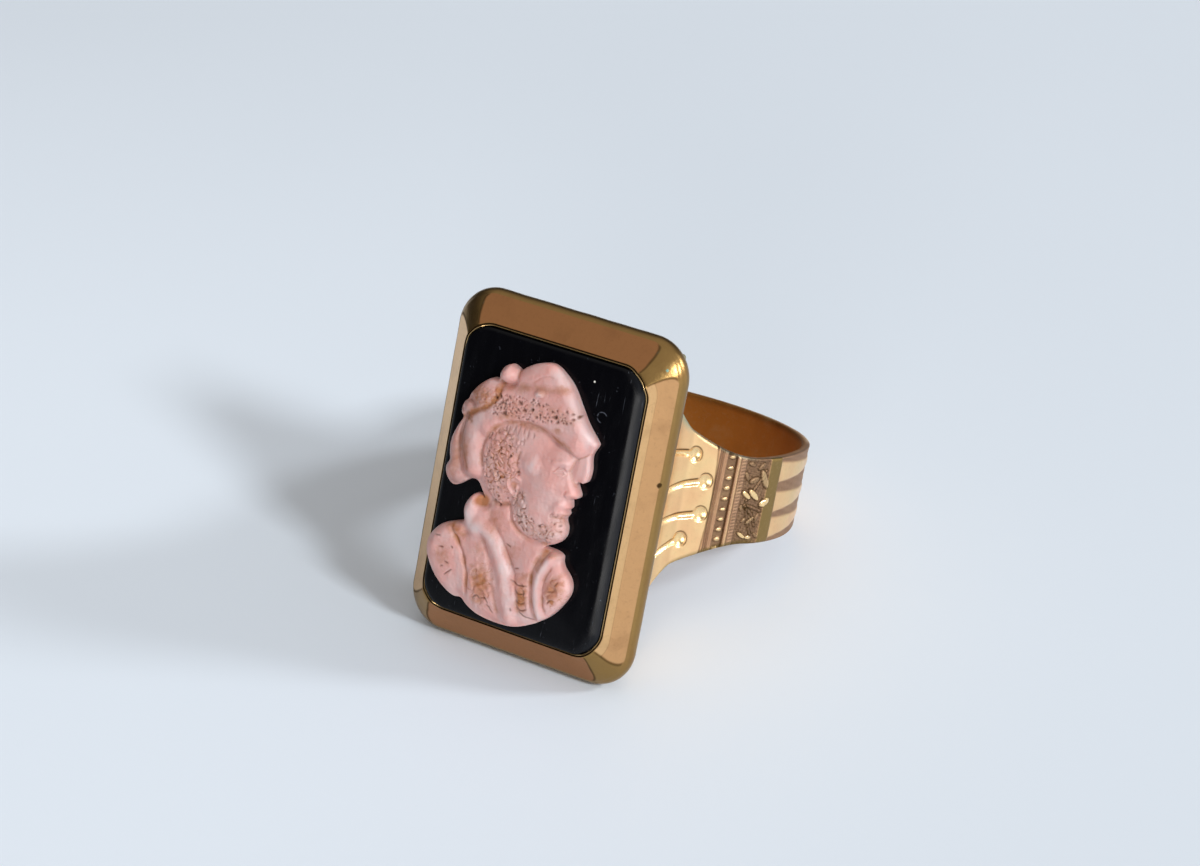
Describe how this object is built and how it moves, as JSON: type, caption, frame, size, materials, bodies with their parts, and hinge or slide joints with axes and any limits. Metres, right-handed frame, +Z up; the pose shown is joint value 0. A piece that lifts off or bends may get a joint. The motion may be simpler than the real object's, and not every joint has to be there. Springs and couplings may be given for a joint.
{
  "type": "finger ring",
  "caption": "Finger ring lying on its side: flared engraved band, oblong metal bezel, black tablet and a coral relief bust.",
  "frame": {"origin": "middle of the bounding box, on the surface that the ring lies on", "axes": "+Z up from that surface, -Y towards the side that the stone faces, +X across the bezel, to the right as seen from the stone's side"},
  "size_m": [0.0185, 0.027, 0.0197],
  "materials": {
    "rose_gold": "polished rose gold, worn and tarnished",
    "black_stone": "polished black stone with fine scratches",
    "coral": "carved pink coral, softly polished"
  },
  "bodies": {
    "root": {"metal_ring": "rose_gold", "black_tablet": "black_stone", "coral_bust": "coral"}
  },
  "joints": []
}
